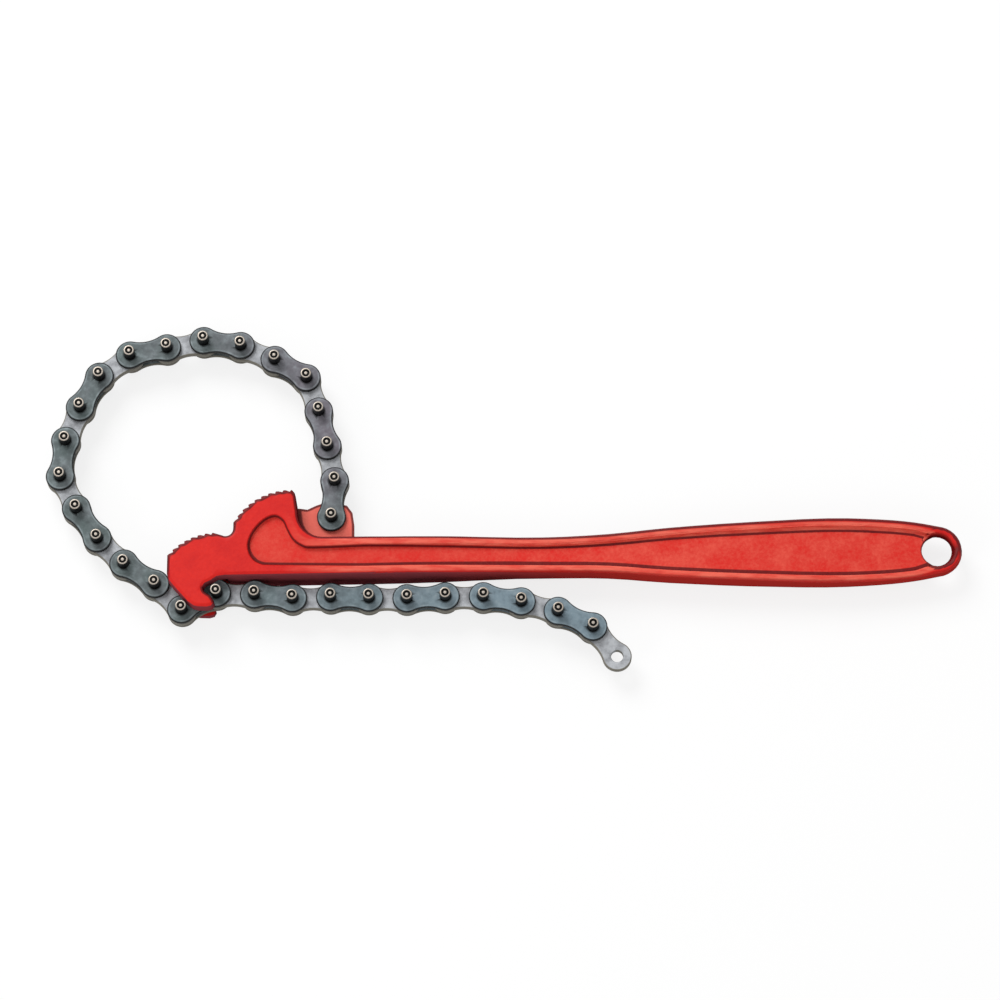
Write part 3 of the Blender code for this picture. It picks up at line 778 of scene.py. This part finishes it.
def cut_edges(points, faces, chosen):
    """Cuts the chosen edges in the middle, and each triangle with them into two, three or four.

    Chosen is a function that picks edges by their two ends, given as numbers of points.
    """
    pairs = np.sort(faces[:, [(0, 1), (1, 2), (2, 0)]], axis=2)
    edges, numbers = np.unique(pairs.reshape(-1, 2), axis=0, return_inverse=True)
    cuts = chosen(edges)
    middle = np.full(len(edges), -1)
    middle[cuts] = len(points) + np.arange(cuts.sum())
    middles = middle[numbers.reshape(-1, 3)]
    count = (middles >= 0).sum(axis=1)
    first = np.where(count == 1, (middles >= 0).argmax(axis=1), (middles < 0).argmax(axis=1) + 1)
    turn = (first[:, None] + np.arange(3)) % 3
    corners = np.take_along_axis(faces, turn, axis=1)
    middles = np.take_along_axis(middles, turn, axis=1)
    a, b, c, d, e, f = np.hstack((corners, middles)).T
    patterns = {
        0: ((a, b, c),),
        1: ((a, d, c), (d, b, c)),
        2: ((a, d, e), (d, b, e), (a, e, c)),
        3: ((a, d, f), (d, b, e), (f, e, c), (d, e, f)),
    }
    rows = [np.column_stack(row)[count == kind] for kind, some in patterns.items() for row in some]
    return np.vstack((points, points[edges[cuts]].mean(axis=1))), np.vstack(rows)


def rim_angle(points, inset):
    """Which points lie on the CAD rim, and their angle round it, from the side to the flat."""
    drop = half_thickness(points[:, 0]) - np.abs(points[:, 2] - MIDDLE)
    reach = CAD_ROUND + ON_LINE
    banded = (points[:, 0] > HEAD_END) & (inset < reach) & (drop < reach)
    return banded, np.arctan2(CAD_ROUND - drop, CAD_ROUND - inset)


def refined(points, faces):
    """The forging cut finely: its rims, every long edge, and the foot of the recess in the grip."""
    lines = forging_lines(points, faces, face_normals(points, faces))

    def across_rim(edges):
        banded, angle = rim_angle(points, from_lines(points[:, :2], *lines[0])[0])
        turn = np.abs(np.diff(angle[edges], axis=1)[:, 0])
        return banded[edges].all(axis=1) & (turn > RIM_STEP)

    def span(edges):
        return np.linalg.norm(points[edges[:, 0]] - points[edges[:, 1]], axis=1)

    def too_long(edges):
        return span(edges) > FINE_EDGE

    def at_foot(edges):
        past = from_lines(points[:, :2], *lines[1])[0]
        near = (past < UPPER_FOOT) & (recess_drop(points) > 0.5 * RECESS_DEPTH)
        near &= points[:, 0] > FOOT_GROWTH[0]
        return near[edges].all(axis=1) & (span(edges) > FOOT_EDGE)

    for choice, rounds in ((across_rim, 2), (too_long, 7), (at_foot, 2)):
        for _ in range(rounds):
            points, faces = cut_edges(points, faces, choice)
    return points, faces, lines


def recess_drop(points):
    """How far a point in the recess lies below the flat, and 0 for all other points."""
    drop = half_thickness(points[:, 0]) - np.abs(points[:, 2] - MIDDLE)
    return np.where((drop < RECESS_DEPTH + NEAR_LINE) & (drop > ON_LINE), drop, 0.0)


def foot_reach(points, turned):
    """Radius of the recess's foot: it grows along the grip, and more at the recess's upper side."""
    growth = np.interp(points[:, 0], FOOT_GROWTH, (0.0, 1.0))
    upper = np.clip(turned[:, 1], 0.0, 1.0)
    return UPPER_FOOT * growth * upper + LOWER_FOOT * np.minimum(1.0, 3 * growth) * (1 - upper)


def round_foot(points, inset, past, turned):
    """The recess's foot rounded with the radius r: the floor rises by r - sqrt(r^2 - (r - d)^2).

    d is the distance from the recess's outline. The wall is pressed together in the same measure.
    Also returns the distance inwards from the new foot, less than 0 on the round and on the flange.
    """
    reach = foot_reach(points, turned)
    drop = np.where(inset > PAST_RIM, recess_drop(points), 0.0)
    rise = reach - np.sqrt(reach**2 - np.clip(reach - past, 0.0, None) ** 2)
    rounded = points.copy()
    rounded[:, 2] += np.sign(points[:, 2] - MIDDLE) * drop * rise / RECESS_DEPTH
    return rounded, np.where(drop > 0.3 * RECESS_DEPTH, past, -past) - reach


def round_rims(points, inset):
    """The neck's and grip's rims made rounder towards the grip.

    The CAD rim is a quarter circle of radius r. A point on it at the angle a from the side moves
    to the depth h (1 - sin a) below the flat, where h grows from r in the neck to nearly half the
    grip's thickness. The side below the rim is pressed together in the same measure.
    """
    banded, angle = rim_angle(points, inset)
    half = half_thickness(points[:, 0])
    depth = np.abs(points[:, 2] - MIDDLE)
    height = CAD_ROUND + eased(points[:, 0], *RIM_GROWTH) * (GRIP_ROUND * half - CAD_ROUND)
    pressed = np.where(inset < NEAR_LINE, depth * (half - height) / (half - CAD_ROUND), depth)
    rounded = points.copy()
    rounded[:, 2] = MIDDLE + np.sign(points[:, 2] - MIDDLE) * np.where(
        banded, half - height * (1 - np.sin(angle)), pressed
    )
    return rounded


def forging_marks(points, normals, inset):
    """Which faces of the forging are its walls, the flats of its lug and the flanks of its teeth.

    A face is steep when its normal's z is less than WALL_TILT, and flat when it is more than
    FLAT_TILT. Steep faces are walls, apart from those of the recess.
    """
    tilt = np.abs(normals[:, 2])
    depth = np.abs(points[:, 2] - MIDDLE)
    steep = (tilt < WALL_TILT) & (np.linalg.norm(normals, axis=1) > 0.5)
    in_recess = (inset > PAST_RIM) & (half_thickness(points[:, 0]) - depth < PAST_RECESS)
    at_teeth = (points[:, 0] < TEETH_END) & (points[:, 1] > TEETH_FOOT)
    return {
        "wall": steep & ~in_recess,
        "lug": (tilt > FLAT_TILT) & (depth < LUG_TOP) & (points[:, 0] < HEAD_END),
        "tip": steep & at_teeth & (normals @ TEETH_FACING > 0.1),
    }


# ----------------------------------------------------------------- operators


def dressed(piece, body, nodes=()):
    """The piece rides on its body, and stands for the nodes, which it hides."""
    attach(piece, body)
    if nodes:
        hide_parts(*nodes)


class WRENCH_OT_forging(bpy.types.Operator):
    """Build the enamelled forging: head with toothed jaws and hook, lug, neck and grip"""
    bl_idname = "wrench.forging"
    bl_label = "Forging"

    def execute(self, context):
        points, faces, (outline, recess, lug) = refined(*mesh_arrays(frame["nodes"]["handle"].data))
        inset, inwards = from_lines(points[:, :2], *outline)
        past, turned = from_lines(points[:, :2], *recess)
        rounded, foot = round_foot(round_rims(points, inset), inset, past, turned)
        masks = {
            "inset": inset,
            "back": -inwards[:, 1],
            "foot": foot,
            "foot_back": -turned[:, 1],
            "lug_inset": from_lines(points[:, :2], *lug)[0],
            "hole": np.linalg.norm(points[:, :2] - HANG_HOLE[:2], axis=1) - HANG_HOLE_RADIUS,
        }
        looks = context.scene.wrench_forging
        face_red = enamel_material("red enamel on the forging", looks, FACE_GLOSS)
        side_red = enamel_material("shaded enamel on the sides", looks, WALL_GLOSS)
        piece = add_piece("forging", rounded, faces, face_red, masks)
        piece.data.materials.append(side_red)
        self.mark_faces(piece.data, outline)
        soften(piece, sharp_angle=40)
        dressed(piece, "handle", ["handle"])
        return {"FINISHED"}

    def mark_faces(self, mesh, outline):
        """Marks walls, lug and teeth on the faces, and gives the walls the second material."""
        centres, normals = np.empty((2, len(mesh.polygons) * 3), np.float32)
        mesh.polygons.foreach_get("center", centres)
        mesh.polygons.foreach_get("normal", normals)
        centres, normals = centres.reshape(-1, 3), normals.reshape(-1, 3)
        marks = forging_marks(centres, normals, from_lines(centres[:, :2], *outline)[0])
        mark_mesh(mesh, marks, "FACE")
        mesh.polygons.foreach_set("material_index", marks["wall"].astype(np.int32))


class WRENCH_OT_outer_links(bpy.types.Operator):
    """Build the outer links, each of a front and a rear stamped plate"""
    bl_idname = "wrench.outer_links"
    bl_label = "Outer links"

    def execute(self, context):
        sizes = context.scene.wrench_chain
        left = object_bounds()[0][0]
        material = blued_material(context.scene.wrench_chain_looks, left)
        level = sizes.inner_thickness / 2 + sizes.side_gap + sizes.outer_thickness / 2
        bore = sizes.pin_radius + RIVET_GAP
        points, faces, masks = plate_surface(sizes, sizes.outer_thickness, bore)
        # The rear mask tells which plate's wall gets the painted shade: only the front one.
        front = {**masks, "rear": np.zeros(len(points))}
        rear = {**masks, "rear": np.ones(len(points))}
        for number in range(1, LINK_COUNT + 1, 2):
            link = f"link_{number:02d}"
            plates, loops, marks = joined(
                (laid(points, number, level), faces, front),
                (laid(points, number, -level), faces, rear),
            )
            piece = add_piece(f"outer_{link}", plates, loops, material, marks)
            soften(piece, sharp_angle=60)
            dressed(piece, link, [f"{link}_front_plate", f"{link}_rear_plate"])
        return {"FINISHED"}


class WRENCH_OT_inner_links(bpy.types.Operator):
    """Build the inner links, each of one thick ground plate"""
    bl_idname = "wrench.inner_links"
    bl_label = "Inner links"

    def execute(self, context):
        sizes = context.scene.wrench_chain
        material = bright_material(context.scene.wrench_chain_looks)
        bore = sizes.pin_radius + sizes.bore_gap
        points, faces, masks = plate_surface(sizes, sizes.inner_thickness, bore)
        for number in range(2, LINK_COUNT + 1, 2):
            link = f"link_{number:02d}"
            piece = add_piece(f"inner_{link}", laid(points, number), faces, material, masks)
            soften(piece, sharp_angle=60)
            dressed(piece, link, [f"{link}_inner_plate"])
        return {"FINISHED"}


class WRENCH_OT_pins(bpy.types.Operator):
    """Build the riveted pins, two for each outer link"""
    bl_idname = "wrench.pins"
    bl_label = "Pins"

    def execute(self, context):
        sizes = context.scene.wrench_chain
        material = pin_material(context.scene.wrench_chain_looks)
        low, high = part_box("link_01_rear_plate")
        pair = (pin_surface(sizes, high.z - low.z, x) for x in (0.0, sizes.pitch))
        points, faces, masks = joined(*pair)
        for number in range(1, LINK_COUNT + 1, 2):
            name = f"pins_{number:02d}"
            piece = add_piece(name, laid(points, number), faces, material, masks)
            soften(piece, sharp_angle=35)
            dressed(piece, f"link_{number:02d}")
        return {"FINISHED"}


class WRENCH_OT_stage(bpy.types.Operator):
    """Set the pale floor, the soft lamps, the room light and the camera"""
    bl_idname = "wrench.stage"
    bl_label = "Stage"

    def execute(self, context):
        scene = context.scene
        looks = scene.wrench_stage
        low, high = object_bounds()
        self.lay_floor(low[2])
        self.light_room(scene, looks)
        self.hang_lamp("main lamp", place=(-0.7, 1.1, 1.3), size=1.1, power=looks.key)
        self.hang_lamp("side lamp", place=(-1.1, -1.0, 0.9), size=0.7, power=looks.fill)
        self.set_camera(scene, looks, high[2])
        scene.view_settings.view_transform = "Standard"
        return {"FINISHED"}

    def lay_floor(self, level):
        """A plain floor: pale for what the camera and the gloss see, greyer for stray light."""
        recipe = Recipe(bpy.data.materials.new("pale floor"))
        stray = recipe.node("ShaderNodeBsdfDiffuse", {}, {"Color": FLOOR_BOUNCE})
        shade = recipe.node("ShaderNodeBsdfDiffuse", {}, {"Color": FLOOR_SHADE})
        glow = recipe.node("ShaderNodeEmission", {}, {"Color": WHITE, "Strength": FLOOR_GLOW})
        shown = recipe.node("ShaderNodeAddShader", {}, (shade, glow))
        blend = recipe.node("ShaderNodeMixShader", {}, (recipe.seen(), stray, shown))
        square = np.array(((-1, -1, 0), (1, -1, 0), (1, 1, 0), (-1, 1, 0)))
        corners = square * FLOOR_REACH + (0, 0, level)
        add_piece("floor", corners, [(0, 1, 2, 3)], recipe.finish(blend))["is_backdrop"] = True

    def light_room(self, scene, looks):
        """Even light from all around, and white for what the camera and the gloss see."""
        recipe = Recipe(bpy.data.worlds.new("room"))
        even, white = (
            recipe.node("ShaderNodeBackground", {}, {"Color": WHITE, "Strength": strength})
            for strength in (looks.ambient, 1.0)
        )
        blend = recipe.node("ShaderNodeMixShader", {}, (recipe.seen(), even, white))
        scene.world = recipe.finish(blend, "ShaderNodeOutputWorld")

    def hang_lamp(self, name, place, size, power):
        """A round, soft lamp that shines at the origin."""
        lamp = bpy.data.lights.new(name, "AREA")
        lamp.shape = "DISK"
        lamp.size = size
        lamp.energy = power
        held = bpy.data.objects.new(name, lamp)
        held.location = place
        held.rotation_euler = (-Vector(place)).to_track_quat("-Z", "Y").to_euler()
        bpy.context.scene.collection.objects.link(held)

    def set_camera(self, scene, looks, top):
        """The camera looks down at the wrench from the side of its lower edge."""
        camera = bpy.data.cameras.new("camera")
        camera.sensor_width = SENSOR_WIDTH
        camera.lens = LENS
        camera.clip_end = VIEW_END
        held = bpy.data.objects.new("camera", camera)
        tilt = looks.elevation
        back = Vector((0.0, -math.cos(tilt), math.sin(tilt)))
        held.location = Vector((*AIM, top)) + looks.distance * back
        held.rotation_euler = (math.pi / 2 - tilt, 0.0, 0.0)
        scene.collection.objects.link(held)
        scene.camera = held


class WRENCH_PT_tools(bpy.types.Panel):
    """Sizes, colours and buttons for the chain pipe wrench"""
    bl_idname = "WRENCH_PT_tools"
    bl_label = "Chain pipe wrench"
    bl_space_type = "VIEW_3D"
    bl_region_type = "UI"
    bl_category = "Chain wrench"

    def draw(self, context):
        layout = self.layout
        for step in STEPS:
            layout.operator(step.bl_idname)
        for name in GROUPS:
            box = layout.box()
            group = getattr(context.scene, name)
            for field in group.bl_rna.properties:
                if field.identifier not in ("rna_type", "name"):
                    box.prop(group, field.identifier)


GROUPS = {
    "wrench_chain": ChainSizes,
    "wrench_forging": ForgingLooks,
    "wrench_chain_looks": ChainLooks,
    "wrench_stage": StageLooks,
}
STEPS = (
    WRENCH_OT_forging, WRENCH_OT_outer_links, WRENCH_OT_inner_links, WRENCH_OT_pins,
    WRENCH_OT_stage,
)


def register():
    for name, group in GROUPS.items():
        bpy.utils.register_class(group)
        setattr(bpy.types.Scene, name, PointerProperty(type=group))
    for step in (*STEPS, WRENCH_PT_tools):
        bpy.utils.register_class(step)


def unregister():
    for step in (WRENCH_PT_tools, *reversed(STEPS)):
        bpy.utils.unregister_class(step)
    for name, group in reversed(GROUPS.items()):
        delattr(bpy.types.Scene, name)
        bpy.utils.unregister_class(group)


def main():
    """Builds every piece and the stage."""
    register()
    bpy.ops.wrench.forging()
    bpy.ops.wrench.outer_links()
    bpy.ops.wrench.inner_links()
    bpy.ops.wrench.pins()
    bpy.ops.wrench.stage()


if __name__ == "__main__":
    main()
